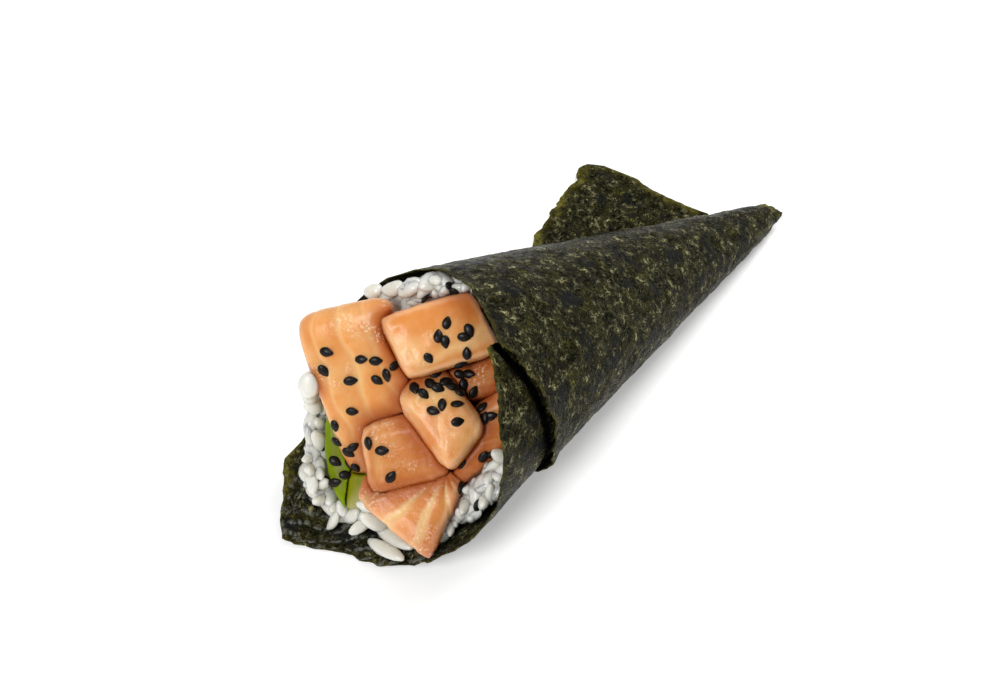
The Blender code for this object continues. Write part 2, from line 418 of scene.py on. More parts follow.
class HandRollNori(bpy.types.PropertyGroup):
    thickness: length("Thickness", "Thickness of the sheet in millimetres", 0.3)
    crinkle: length("Crinkle", "Height of the sheet's waves in millimetres", 0.34)
    tear: length("Tear", "How far the torn edges wander in millimetres", 0.9)
    pleat_width: length("Pleat width", "Width of the wrinkles on the loose corner in millimetres", 2.9)
    pleat_height: length("Pleat height", "Height of those wrinkles in millimetres", 0.55)
    seam_lift: length("Seam lift", "How far the outer edge stands off the sheet in millimetres", 1.3)
    dark: colour("Dark", "Green-black of the sheet", (0.0018, 0.0018, 0.0010))
    olive: colour("Olive", "Thinner, olive patches", (0.040, 0.036, 0.011))
    film: colour("Film", "Smooth, blue-black patches", (0.012, 0.014, 0.014))
    thin: colour("Thin edge", "Yellow-green of torn edges", (0.25, 0.22, 0.035))
    glint: colour("Glints", "Light caught on the crests of the wrinkles", (0.30, 0.31, 0.27))
    thread_olive: colour("Olive threads", "Yellow-green fibres, thinner parts", (0.17, 0.155, 0.045))
    thread: colour("Thread", "Pale fibres on the sheet", (0.40, 0.38, 0.19))
    inside: colour("Inside", "Dull olive-brown of the loose end", (0.034, 0.026, 0.009))


class HandRollRice(bpy.types.PropertyGroup):
    grain_length: length("Grain length", "Length of a cooked grain in millimetres", 7.2)
    grain_width: length("Grain width", "Width of a cooked grain in millimetres", 3.5)
    spacing: length("Spacing", "Least distance between grains in millimetres", 2.15)
    white: colour("White", "Colour of the grains", (0.80, 0.79, 0.70))
    shade: colour("Shade", "Colour deep between the grains", (0.66, 0.65, 0.58))


class HandRollFilling(bpy.types.PropertyGroup):
    salmon: colour("Salmon", "Flesh of the light cuts", (0.85, 0.345, 0.085))
    salmon_pale: colour("Pale flesh", "Paler, fatter flesh", (0.93, 0.61, 0.27))
    # painted shade: the darker flesh mixed into cuts that lie deeper in the mouth
    salmon_deep: colour("Deep flesh", "Flesh of the cuts in the shade", (0.42, 0.105, 0.010))
    # painted shade: this deep orange darkens each flake across its width and the places where pieces
    # meet
    salmon_painted_shade: colour("Rich flesh", "Deep orange where pieces meet", (0.40, 0.070, 0.003))
    salmon_edge: colour("Edge", "Pinkish, thinner edges of the cuts", (0.90, 0.56, 0.32))
    fat: colour("Fat", "Pale lines through the flesh", (0.92, 0.66, 0.32))
    flake_depth: length("Flake depth", "Step between flakes in millimetres", 0.20)
    fan_depth: length("Fan depth", "Step between the fan slice's flakes in millimetres", 0.55)
    avocado: colour("Avocado", "Green by the skin", (0.150, 0.200, 0.0))
    avocado_inner: colour("Avocado inside", "Yellow-green near the stone", (0.22, 0.23, 0.002))
    avocado_rim: colour("Avocado rim", "Bright green where the skin came off", (0.20, 0.34, 0.004))
    pale: colour("Pale slice", "Pale avocado flesh", (0.50, 0.46, 0.22))


class HandRollSesame(bpy.types.PropertyGroup):
    seed_length: length("Seed length", "Length of a sesame seed in millimetres", 3.3)
    seed_width: length("Seed width", "Width of a sesame seed in millimetres", 2.3)
    black: colour("Black", "Colour of the seeds", (0.0040, 0.0030, 0.0025))


class HandRollStage(bpy.types.PropertyGroup):
    distance: number("Distance", "Camera to the table in metres", 0.3723, min=0.1, unit='LENGTH')
    azimuth: number("Azimuth", "Camera's turn round the roll", math.radians(-43.0), subtype='ANGLE')
    elevation: number("Elevation", "Camera's height over the table", math.radians(50.0),
                      subtype='ANGLE')
    floor: colour("Floor", "Colour of the table", (0.9, 0.9, 0.9))
    sky: number("Sky", "Strength of the even light all round", 0.35, min=0.0)
    key: number("Key", "Power of the light over the tip", 3.0, min=0.0, unit='POWER')
    fill: number("Fill", "Power of the light over the mouth", 3.6, min=0.0, unit='POWER')


SETTINGS = {"handroll_nori": HandRollNori, "handroll_rice": HandRollRice,
            "handroll_filling": HandRollFilling, "handroll_sesame": HandRollSesame,
            "handroll_stage": HandRollStage}



# ---- nori ----
def on_sheet(rho, phi, thickness):
    """Middle of the sheet and its outward normal: on the cone up to ROLL_END, then on the table."""
    turn = np.radians(np.minimum(phi, ROLL_END))
    radial = DOWN * np.cos(turn)[:, None] + SIDE * np.sin(turn)[:, None]
    normal = radial * COS - AXIS * SIN
    inset = thickness / 2 + TURN_STEP * (ROLL_END - np.minimum(phi, ROLL_END)) / 360.0
    droop = ramp(rho, 142.0, 167.0) * ramp(np.abs(phi), 100.0, 40.0)
    inset += (thickness / 2 - inset) * droop
    point = (AXIS * COS + radial * SIN) * rho[:, None] - normal * inset[:, None]
    pressed = (phi > ROLL_END - 90.0) & (phi <= ROLL_END)
    rise = ramp(phi, ROLL_END - FLAT_SPOT, ROLL_END - 3 * FLAT_SPOT)
    point[:, 2] = np.where(pressed, thickness / 2 + (point[:, 2] - thickness / 2) * rise, point[:, 2])
    free = phi > ROLL_END
    angle = np.radians(np.maximum(phi - ROLL_END, 0.0)) * SIN
    lift_from, corner = math.radians(20.0), math.radians(FREE_END[-1][0])
    lift = ramp(angle, lift_from, corner)
    flat = np.stack((-rho * np.cos(angle), rho * np.sin(angle), thickness / 2 + lift), axis=1)
    point[free] = flat[free]
    normal[free] = (0.0, 0.0, -1.0)
    return point, normal


def sheet_edges(phi):
    """Front and back rho of the sheet for each column."""
    angle = np.degrees(np.radians(np.maximum(phi - ROLL_END, 0.0)) * SIN)
    front = np.where(phi > ROLL_END, row_value(FREE_END, angle), row_value(FRONT_EDGE, phi))
    back = np.where(phi > ROLL_END, row_value(FREE_END, angle, 2), row_value(BACK_EDGE, phi))
    return front, back


def torn(along, amount, seed):
    """Wandering of a torn edge at places along it, in long and short waves."""
    where = [(x, seed, 0.0) for x in along]
    return amount * (0.8 * rough(where, 7.0, seed) + 0.7 * rough(where, 2.6, seed + 1, 4))


def torn_edges(phi, tear):
    """The sheet's edges with their tears, which are wider at the seam and the loose end."""
    front, back = sheet_edges(phi)
    along = np.cumsum(np.abs(np.gradient(phi)) * np.radians(1.0) * SIN * front)
    start, end = SEAM
    ragged = 1.0 + 0.9 * ramp(phi, start - 5.0, start + 10.0) * ramp(phi, end + 5.0, end - 10.0)
    ragged = ragged + 1.6 * ramp(phi, ROLL_END + 8.0, ROLL_END + 28.0)
    return front + ragged * torn(along, tear, 3), back + torn(along, tear * 0.7, 8)


def thinness(phi, rho):
    """How thin and yellow-green the torn edge is: most at the tip, the loose end and the left."""
    tip = ramp(rho, 40.0, 28.0)
    loose = 0.85 * ramp(phi, *LOOSE_FROM)
    left = 0.8 * ramp(phi, 20.0, 32.0) * ramp(phi, 95.0, 75.0)
    start = 0.6 * ramp(phi, ROLL_START + 12.0, ROLL_START + 2.0)
    return np.maximum.reduce((tip, loose, left, start, np.full(len(phi), 0.25)))


def wrinkles(look, phi, rho, flat, middle):
    """Height of the sheet's crinkles in millimetres, and how much of a pleat's crest each place is."""
    creases = 0.5 - 2.0 * np.abs(rough(flat, 8.0, 6, 3))
    waves = look.crinkle * (0.7 * rough(flat, 10.0, 1) + 0.6 * rough(flat, 3.2, 2, 4) + 0.7 * creases)
    corner = ramp(phi, -60.0, -35.0) * ramp(phi, 42.0, 30.0) * ramp(rho, 152.0, 162.0)
    across = middle @ np.array((0.68, 0.73, 0.0)) + 2.2 * rough(flat, 9.0, 9, 3)
    pleats = np.sin(2 * np.pi * across / look.pleat_width)
    waves = waves + look.pleat_height * corner * pleats * (0.7 + 0.6 * rough(flat, 6.0, 10, 2))
    waves = waves * (1 - 0.4 * ramp(phi, 350.0, 380.0))
    return waves, 0.9 * corner * ramp(pleats, 0.55, 0.95)


class HANDROLL_OT_nori(bpy.types.Operator):
    """Roll the nori: a fine sheet wound round the cone, with torn edges and a crinkled skin"""
    bl_idname = "handroll.nori"
    bl_label = "Nori Wrap"

    def execute(self, context):
        look = context.scene.handroll_nori
        last = ROLL_END + math.degrees(math.radians(FREE_END[-1][0]) / SIN)
        columns = np.concatenate((np.linspace(ROLL_START, FINE_FROM, COLUMNS[0])[:-1],
                                  np.linspace(FINE_FROM, ROLL_END, COLUMNS[1]),
                                  np.linspace(ROLL_END, last, COLUMNS[2])[1:]))
        bpy.ops.object.select_all(action='DESELECT')
        bpy.ops.mesh.primitive_grid_add(x_subdivisions=len(columns) - 1, y_subdivisions=ROWS - 1,
                                        size=2)
        sheet = bpy.context.object
        sheet.name = sheet.data.name = "nori_sheet"
        grid = get_places(sheet)
        column = np.rint((grid[:, 0] + 1) / 2 * (len(columns) - 1)).astype(int)
        share = (grid[:, 1] + 1) / 2
        share += ROW_BOW * share * (1 - share)

        front, back = torn_edges(columns, look.tear)
        phi = columns[column]
        rho = back[column] + (front[column] - back[column]) * share
        phi = phi + ramp(phi, ROLL_START + 14.0, ROLL_START) * torn(rho, look.tear * 2.2, 12)
        angle = np.radians(phi) * SIN
        flat = np.stack((rho * np.cos(angle), rho * np.sin(angle), np.zeros(len(rho))), axis=1)
        middle, normal = on_sheet(rho, phi, look.thickness)
        waves, crest = wrinkles(look, phi, rho, flat, middle)
        to_edge = front[column] - rho
        seam = ramp(phi, SEAM[0], SEAM[0] + 12.0) * ramp(phi, SEAM[1], SEAM[1] - 20.0)
        lift = look.seam_lift * seam * ramp(to_edge, 6.0, 0.0)
        middle = middle + normal * (waves + lift)[:, None]
        middle[:, 2] = np.maximum(middle[:, 2], look.thickness / 2 + TABLE_GAP)
        set_places(sheet, middle * MM + np.array(APEX))

        uv = sheet.data.uv_layers.active or sheet.data.uv_layers.new(name="sheet")
        corners = np.empty(len(sheet.data.loops), dtype=np.int32)
        sheet.data.loops.foreach_get("vertex_index", corners)
        uv.data.foreach_set("uv", (flat[corners, :2] * UV_PER_MM).astype(np.float32).ravel())
        arc = np.radians(1.0) * SIN * rho
        side_gap = np.minimum(np.abs(phi - ROLL_START) * arc, (last - phi) * arc)
        gap = np.minimum(np.minimum(to_edge, rho - back[column]), side_gap)
        thin = thinness(phi, rho)
        under = sheet_edges(phi + 360.0)[0] - rho
        add_value(sheet, "edge_gap", gap * (1.0 - 0.65 * ramp(thin, 0.5, 0.8)))
        add_value(sheet, "crest", crest)
        add_value(sheet, "free_end", ramp(phi, *LOOSE_FROM))
        add_value(sheet, "thinness", thin)
        # painted shade: a band of the inner layer under the outer layer's front edge is marked to be
        # painted near black
        add_value(sheet, "tuck_shade", ramp(np.abs(under + 0.2), 1.9, 0.9) * (phi < FINE_FROM))

        edit_whole(sheet, (bpy.ops.mesh.normals_make_consistent, {"inside": False}))
        face = sheet.data.polygons[0]
        if face.normal.dot(Vector(normal[face.vertices[0]])) < 0:
            sheet.data.flip_normals()
        modify(sheet, 'SOLIDIFY', thickness=look.thickness * MM, offset=0.0, material_offset=1,
               material_offset_rim=0)
        finish_piece(sheet, "nori", ("nori_wrap",), nori_skin(look, inner=False),
                     nori_skin(look, inner=True))
        return {'FINISHED'}


def nori_skin(look, inner):
    """Dark mottled seaweed: olive and blue-black patches, a tangle of pale threads, torn edges."""
    mat, tree, shader = new_material("nori_inside" if inner else "nori_outside")
    where = tree.node("ShaderNodeUVMap").outputs["UV"]
    free = tree.attribute("free_end")
    patches = tree.blotches(where, 22.0, 6.0, 0.5, 0.09)
    film = tree.blotches(where, 13.0, 6.0, 0.57, 0.04)
    grain = tree.blotches(where, 105.0, 4.0, 0.52, 0.08)
    holes = tree.blotches(where, 70.0, 4.0, 0.64, 0.03)
    threads = tree.math('MAXIMUM', tree.fibres(where, 27.0, 0.027, 1.4),
                        tree.times(tree.fibres(where, 52.0, 0.042, 1.0), 0.8))
    plenty = tree.plus(0.25, tree.times(patches, 0.75))
    plenty = tree.times(plenty, tree.minus(1.0, tree.times(film, 0.8)))
    threads = tree.times(threads, plenty)

    color = tree.mix(tree.times(patches, 0.7), look.dark, look.olive)
    color = tree.mix(tree.times(grain, 0.45), color, look.olive)
    color = tree.mix(tree.times(film, 0.85), color, look.film)
    lit = tree.between(tree.noise(where, 48.0, 4.0), 0.47, 0.60)
    pale = tree.mix(lit, scaled(look.thread, 0.30), scaled(look.thread, 1.3))
    pale = tree.mix(tree.between(tree.noise(where, 17.0), 0.52, 0.64), pale, look.thread_olive)
    if inner:
        dull = tree.mix(patches, scaled(look.inside, 0.6), scaled(look.inside, 1.5))
        dull = tree.mix(tree.times(grain, 0.6), dull, (0.085, 0.066, 0.028))
        color = tree.mix(free, color, dull)
        threads = tree.times(threads, tree.minus(0.75, tree.times(free, 0.45)))
    color = tree.mix(tree.times(threads, 0.95), color, pale)
    edge = tree.plus(tree.attribute("edge_gap"), tree.times(tree.noise(where, 60.0, 4.0), 3.0))
    broken = tree.between(tree.noise(where, 11.0), 0.42, 0.56)
    near = tree.times(tree.between(edge, 2.9, 1.1), tree.plus(0.3, tree.times(broken, 0.7)))
    color = tree.mix(tree.times(near, tree.attribute("thinness")), color, look.thin)
    color = tree.mix(tree.times(holes, 0.9), color, (0.0010, 0.0012, 0.0010))
    glints = tree.between(tree.noise(where, 70.0, 5.0), 0.42, 0.55)
    color = tree.mix(tree.times(tree.attribute("crest"), glints), color, look.glint)
    # painted shade: near black under the outer layer's front edge
    color = tree.mix(tree.attribute("tuck_shade"), color, (0.0008, 0.0008, 0.0008))

    height = tree.plus(tree.times(patches, 0.4), threads)
    height = tree.plus(height, tree.times(tree.noise(where, 120.0), 0.7))
    height = tree.plus(height, tree.times(tree.noise(where, 260.0, 2.0), 0.35))
    height = tree.minus(height, tree.times(holes, 0.8))
    gloss = tree.between(tree.noise(where, 60.0), 0.35, 0.65, 0.13, 0.34)
    if inner:
        gloss = tree.plus(gloss, tree.times(free, 0.4))
    tree.plug(shader, Base_Color=color, Roughness=gloss, Normal=tree.bump(height, 1.0, 0.0008),
              Specular_IOR_Level=0.018)
    return mat


# ---- rice ----
class HANDROLL_OT_rice_core(bpy.types.Operator):
    """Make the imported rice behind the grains: the bed's own shape, drawn in all round"""
    bl_idname = "handroll.rice_core"
    bl_label = "Rice Core"

    def execute(self, context):
        core = copy_of_node("rice_bed", "rice_core")
        modify(core, 'REMESH', mode='VOXEL', voxel_size=1.0 * MM)
        edit_whole(core, (bpy.ops.transform.shrink_fatten, {"value": -1.35 * MM}),
                   (bpy.ops.mesh.vertices_smooth, {"factor": 0.5, "repeat": 3}))
        push_out(core, 0.5 * rough(get_places(core) / MM, 3.0, 5, 2))
        finish_piece(core, "rice", ("rice_bed",), rice_flesh(context.scene.handroll_rice, core=True))
        return {'FINISHED'}


def small_ball(segments, rings):
    """Places and faces of a ball 1 across with its poles along X, for a grain or a seed."""
    bpy.ops.object.select_all(action='DESELECT')
    bpy.ops.mesh.primitive_uv_sphere_add(segments=segments, ring_count=rings, radius=0.5,
                                         rotation=(0.0, math.radians(90.0), 0.0))
    bpy.ops.object.transform_apply(location=False, rotation=True, scale=False)
    ball = bpy.context.object
    places = get_places(ball)
    faces = [tuple(p.vertices) for p in ball.data.polygons]
    discard(ball)
    return places, faces


def grain_shape(look, bend, blunt, seed):
    """One cooked grain: plump, a little bent, blunt and lumpy, long axis along X."""
    places, faces = small_ball(*GRAIN_MESH)
    x = places[:, 0] * 2
    angle = np.arctan2(places[:, 2], places[:, 1])
    full = 1.0 + blunt * x * x
    full *= 1.0 + 0.09 * np.cos(3 * angle + 2.0 * x + seed) + 0.07 * rough(places, 0.45, seed, 2)
    places[:, 1] *= full * look.grain_width
    places[:, 2] *= full * look.grain_width * 0.80
    places[:, 2] += bend * (x * x - 0.4)
    places[:, 0] *= look.grain_length
    return places, faces


def join_copies(name, shapes, turns):
    """One mesh of many copies of small shapes. A turn is (matrix, where), in millimetres."""
    all_places, all_faces, counts = [], [], []
    start = 0
    for k, (matrix, where) in enumerate(turns):
        places, faces = shapes[k % len(shapes)]
        all_places.append(places @ np.array(matrix).T + np.array(where))
        all_faces += [tuple(v + start for v in face) for face in faces]
        counts.append(len(places))
        start += len(places)
    mesh = bpy.data.meshes.new(name)
    mesh.from_pydata(np.concatenate(all_places) * MM, [], all_faces)
    mesh.update()
    obj = bpy.data.objects.new(name, mesh)
    bpy.context.collection.objects.link(obj)
    add_value(obj, "tone", np.repeat([random.random() for _ in turns], counts))
    return obj


def lying_turn(normal, degrees, lean, roll):
    """A turn that lays a long shape on a face, its X axis turned round the face's normal."""
    normal = Vector(normal)
    flat = normal.cross(Vector((0.0, 0.0, 1.0)))
    flat = (flat if flat.length > 1e-3 else normal.orthogonal()).normalized()
    flat.rotate(Matrix.Rotation(math.radians(degrees), 3, normal))
    flat.rotate(Matrix.Rotation(lean, 3, normal.cross(flat)))
    side = normal.cross(flat).normalized()
    up = flat.cross(side)
    return Matrix.Rotation(roll, 3, flat) @ Matrix((flat, side, up)).transposed()


# The grains' shapes: how bent in millimetres, how blunt, and a seed for their lumps.
GRAIN_SHAPES = ((0.3, -0.10, 1), (0.6, -0.18, 2), (0.1, 0.0, 3), (0.45, -0.05, 4), (0.5, 0.05, 5))
# The segments and rings of a grain and of a seed.
GRAIN_MESH = (9, 7)
SEED_MESH = (12, 8)
GRAIN_TRIES = 26000
# Each layer of grains: its depth as a share of a grain's width, and how much wider it is spaced.
LAYERS = ((0.34, 0.0), (1.05, 0.4))
# Rice between these distances from the apex along the cone's axis is never seen.
HIDDEN_RICE = (42.0, 118.0)
# The grains' least distance to the filling and to the nori, in millimetres.
FILLING_GAP = 1.35
NORI_GAP = 1.75
# They are kept there at a grain's middle and at this share of its length from there, both ways.
GRAIN_REACH = 0.36

# Single grains that lie by themselves: their two ends as shares of the roll's whole box, and width.
LOOSE_GRAINS = (((0.088, 0.306, 0.050), (0.096, 0.173, 0.105), 3.6),
                ((0.107, 0.313, 0.060), (0.114, 0.177, 0.120), 3.6),
                ((0.156, 0.147, 0.139), (0.150, 0.130, 0.200), 4.2),
                ((0.262, 0.700, 0.730), (0.272, 0.656, 0.775), 4.3),
                ((0.274, 0.648, 0.770), (0.287, 0.597, 0.836), 4.2),
                ((0.280, 0.590, 0.812), (0.292, 0.538, 0.889), 4.0),
                ((0.291, 0.524, 0.890), (0.327, 0.527, 0.890), 4.4),
                ((0.324, 0.538, 0.883), (0.316, 0.470, 0.915), 4.4),
                ((0.292, 0.581, 0.857), (0.300, 0.545, 0.870), 4.0),
                ((0.134, 0.626, 0.360), (0.130, 0.655, 0.430), 4.6),
                ((0.128, 0.632, 0.430), (0.134, 0.660, 0.510), 4.6),
                ((0.122, 0.615, 0.500), (0.128, 0.645, 0.580), 4.8),
                ((0.128, 0.625, 0.630), (0.114, 0.592, 0.560), 4.6),
                ((0.140, 0.660, 0.560), (0.135, 0.640, 0.470), 4.4),
                ((0.108, 0.605, 0.233), (0.094, 0.545, 0.232), 4.4),
                ((0.091, 0.600, 0.140), (0.077, 0.533, 0.155), 4.4),
                ((0.081, 0.556, 0.110), (0.078, 0.504, 0.080), 4.2),
                ((0.083, 0.424, 0.154), (0.091, 0.401, 0.075), 4.2),
                ((0.084, 0.401, 0.065), (0.097, 0.369, 0.141), 4.0))


def bed_triangles():
    """The rice bed's triangles in millimetres, their normals and their areas."""
    bed = copy_of_node("rice_bed", "rice_surface")
    mesh = bed.data
    mesh.calc_loop_triangles()
    corners = [mesh.vertices[v].co / MM for tri in mesh.loop_triangles for v in tri.vertices]
    discard(bed)
    corners = np.array(corners).reshape(-1, 3, 3)
    normals = np.cross(corners[:, 1] - corners[:, 0], corners[:, 2] - corners[:, 0])
    areas = np.linalg.norm(normals, axis=1) / 2
    return corners, normals / np.maximum(areas[:, None] * 2, 1e-9), areas


def point_on(triangle):
    """A random point on a triangle."""
    a, b = random.random(), random.random()
    if a + b > 1:
        a, b = 1 - a, 1 - b
    c0, c1, c2 = triangle
    return c0 + (c1 - c0) * a + (c2 - c0) * b


def crowded(place, others, spacing):
    return any((place[0] - q[0]) ** 2 + (place[1] - q[1]) ** 2 + (place[2] - q[2]) ** 2
               < spacing ** 2 for q in others)


def too_near(trees, spots, gap):
    return min(tree.find_nearest(spot * MM)[3] for tree in trees for spot in spots) < gap * MM


def bed_grains(look):
    """A turn and a place for each grain of the bed's two layers."""
    corners, normals, areas = bed_triangles()
    filling = [tree_of(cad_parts[node]) for node in FILLING_NODES]
    nori = [tree_of(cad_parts["nori_wrap"])]
    apex = np.array(APEX) / MM
    picks = random.choices(range(len(corners)), weights=list(areas), k=GRAIN_TRIES)
    turns = []
    for sunk, wider in LAYERS:
        depth = look.grain_width * sunk
        spacing = look.spacing + wider
        chosen = []
        for pick in picks:
            point = point_on(corners[pick])
            if HIDDEN_RICE[0] < (point - apex) @ AXIS < HIDDEN_RICE[1]:
                continue
            normal = normals[pick]
            place = point - normal * (depth + random.uniform(-0.3, 0.3))
            if crowded(place, chosen, spacing):
                continue
            turn = lying_turn(normal, random.uniform(0, 360), random.gauss(0, 0.5),
                              random.uniform(0, math.tau))
            size = random.uniform(0.8, 1.12)
            half = turn @ Vector((look.grain_length * GRAIN_REACH * size, 0.0, 0.0))
            spots = [Vector(place), Vector(place) + half, Vector(place) - half]
            if too_near(filling, spots, FILLING_GAP) or too_near(nori, spots, NORI_GAP):
                continue
            chosen.append(place)
            stretch = Matrix.Diagonal((size * random.uniform(0.9, 1.12), size, size))
            turns.append((turn @ stretch, place))
    return turns


def loose_grains(look):
    """A turn and a place for each grain that lies by itself."""
    turns = []
    for start, end, width in LOOSE_GRAINS:
        start, end = (in_box(*CAD_BOX, shares) / MM for shares in (start, end))
        along = end - start
        wide = width / look.grain_width
        stretch = Matrix.Diagonal(((along.length + 0.8) / look.grain_length, wide, wide))
        turns.append((along.to_track_quat('X', 'Z').to_matrix() @ stretch, (start + end) / 2))
    return turns


class HANDROLL_OT_rice_grains(bpy.types.Operator):
    """Lay cooked grains over the rice that shows at the mouth, in two layers, and loose ones"""
    bl_idname = "handroll.rice_grains"
    bl_label = "Rice Grains"

    def execute(self, context):
        look = context.scene.handroll_rice
        random.seed(11)
        turns = bed_grains(look) + loose_grains(look)
        shapes = [grain_shape(look, *shape) for shape in GRAIN_SHAPES]
        rice = join_copies("rice_grains", shapes, turns)
        finish_piece(rice, "rice", (), rice_flesh(look, core=False))
        return {'FINISHED'}


def rice_flesh(look, core):
    """Moist, slightly see-through cooked rice."""
    mat, tree, shader = new_material("rice_core" if core else "rice_grain")
    where = tree.object_place()
    cloud = tree.blotches(where, 420.0, 3.0, 0.5, 0.2)
    if core:
        color = tree.mix(tree.times(cloud, 0.6), look.shade, look.white)
    else:
        color = tree.mix(tree.times(tree.attribute("tone"), 0.6), look.white, (0.62, 0.61, 0.52))
        color = tree.mix(tree.times(cloud, 0.35), color, (0.88, 0.88, 0.82))
    tree.plug(shader, Base_Color=color, Roughness=tree.uneven(where, 500.0, 0.22, 0.42),
              Normal=tree.bump(tree.noise(where, 900.0), 0.25, 0.0002),
              Subsurface_Weight=0.6, Subsurface_Radius=(1.0, 0.92, 0.75), Subsurface_Scale=0.0030,
              Coat_Weight=0.3, Coat_Roughness=0.12)
    return mat


# ---- salmon and avocado ----
# For each cut: the way across its flakes, how wide they are in millimetres (degrees for the fan),
# how strongly their pale lines show, how wide those are (share of a flake), how pale the flesh is,
# how many times its edges are softened, and how far painted shade deepens its colour and dulls its
# shine.
Cut = namedtuple("Cut", "across width strength line pale smooth depth")
CUTS = {"salmon_slab": Cut((0.72, -0.59, 0.29), 6.3, 0.32, 0.13, 0.42, 26, 0.05),
        "salmon_top_block": Cut((-0.2, -0.3, 0.93), 6.0, 0.35, 0.14, 0.30, 4, 0.20),
        "salmon_middle_chunk": Cut((0.8, -0.55, 0.1), 9.0, 0.20, 0.15, 0.50, 10, 0.12),
        "salmon_lower_block": Cut((0.6, -0.7, 0.3), 11.0, 0.15, 0.15, 0.10, 5, 0.55),
        "salmon_fan_slice": Cut(None, 24.0, 0.80, 0.30, 0.0, 5, 0.20),
        "salmon_right_block": Cut((0.5, 0.7, 0.5), 6.5, 0.2, 0.12, 0.15, 7, 0.8),
        "salmon_right_piece": Cut((0.6, 0.7, 0.2), 6.0, 0.2, 0.12, 0.1, 7, 0.6)}
# The fan's flakes spread from a place in its box, in the plane square to this way.
FAN_PIVOT = (0.90, 0.40, 1.0)
FAN_FACE = (-0.36, -0.23, 0.90)
# How far the painted shade between pieces reaches, in millimetres.
CREVICE_SHADE_REACH = 5.5


def soft_piece(node, voxel=0.45, grow=0.26, smooth=5, waviness=0.22):
    """A CAD piece of the filling made fine, rounded, slightly uneven and swollen to its neighbours."""
    obj = copy_of_node(node, node + "_flesh")
    modify(obj, 'REMESH', mode='VOXEL', voxel_size=voxel * MM)
    modify(obj, 'SMOOTH', factor=0.5, iterations=smooth)
    points = get_places(obj) / MM
    push_out(obj, grow + waviness * (0.7 * rough(points, 7.0, 4, 2) + 0.3 * rough(points, 2.2, 6, 2)))
    return obj


def flakes(node, places):
    """Which flake of the flesh each place lies in: whole numbers are the pale lines between them."""
    cut = CUTS[node]
    points = places / MM
    if cut.across:
        count = points @ np.array(Vector(cut.across).normalized()) / cut.width
        return count + 0.30 * rough(points, 11.0, 2, 2)
    pivot = in_box(*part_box(node), FAN_PIVOT) / MM
    face = Vector(FAN_FACE).normalized()
    start = Vector((-1.0, 0.0, 0.0))
    start = (start - face * start.dot(face)).normalized()
    side = face.cross(start)
    arm = points - np.array(pivot)
    angle = np.degrees(np.arctan2(arm @ np.array(side), arm @ np.array(start)))
    return angle / cut.width + 0.22 * rough(points, 7.0, 2, 2)


def shape_flakes(obj, node, depth):
    """Press the lines between the flakes into a cut, and keep the flakes for its material."""
    flake = flakes(node, get_places(obj))
    step = flake - np.floor(flake)
    push_out(obj, depth * (ramp(step, 0.0, 0.18) - 0.6 * step - 0.5))
    add_value(obj, "flake", flake)


def round_over(obj):
    """Soften the top of a slice, where it bends over and its edge thins out."""
    average = neighbours_average(obj)
    places = get_places(obj)
    low, high = places[:, 2].min(), places[:, 2].max()
    share = 0.9 * ramp(places[:, 2], (low + high) / 2, high)
    for _ in range(90):
        places += share[:, None] * (average(places) - places)
    set_places(obj, places)


def mark_edges(obj):
    """Keep how far each place stands on an edge of the cut."""
    average = neighbours_average(obj)
    places = get_places(obj)
    out = ((places - average(places)) * normals_of(obj)).sum(axis=1) / MM
    for _ in range(5):
        out = 0.4 * out + 0.6 * average(out)
    add_value(obj, "edge", ramp(out, 0.004, 0.026))


def mark_crevice_shade(pieces, round_about):
    """Keep how near each place lies to the next piece, for the painted shade there: 1 where they touch,
    0 from the reach on.
    """
    reach = CREVICE_SHADE_REACH * MM
    trees = {piece.name: (tree_of(piece), 1.0) for piece in pieces}
    trees.update({name: (tree_of(bpy.data.objects[name]), spread) for name, spread in round_about})
    for piece in pieces:
        others = [tree for name, tree in trees.items() if name != piece.name]
        gaps = np.full(len(piece.data.vertices), reach)
        for k, vertex in enumerate(piece.data.vertices):
            for tree, spread in others:
                found = tree.find_nearest(vertex.co, gaps[k] * spread)[3]
                if found is not None:
                    gaps[k] = min(gaps[k], found / spread)
        share = ramp(gaps, reach, 0.0)
        average = neighbours_average(piece)
        for _ in range(3):
            share = average(share)
        add_value(piece, "crevice_shade", share)


class HANDROLL_OT_salmon(bpy.types.Operator):
    """Make the seven cuts of raw salmon, soft-edged, with pale lines between wet flakes"""
    bl_idname = "handroll.salmon"
    bl_label = "Salmon"

    def execute(self, context):
        look = context.scene.handroll_filling
        for node in SALMON_NODES:
            piece = soft_piece(node, smooth=CUTS[node].smooth)
            if node == "salmon_slab":
                round_over(piece)
            shape_flakes(piece, node, look.flake_depth if CUTS[node].across else look.fan_depth)
            mark_edges(piece)
            slot = "salmon_deep" if node in DEEP_NODES else "salmon"
            finish_piece(piece, slot, (node,), salmon_flesh(look, node))
        return {'FINISHED'}


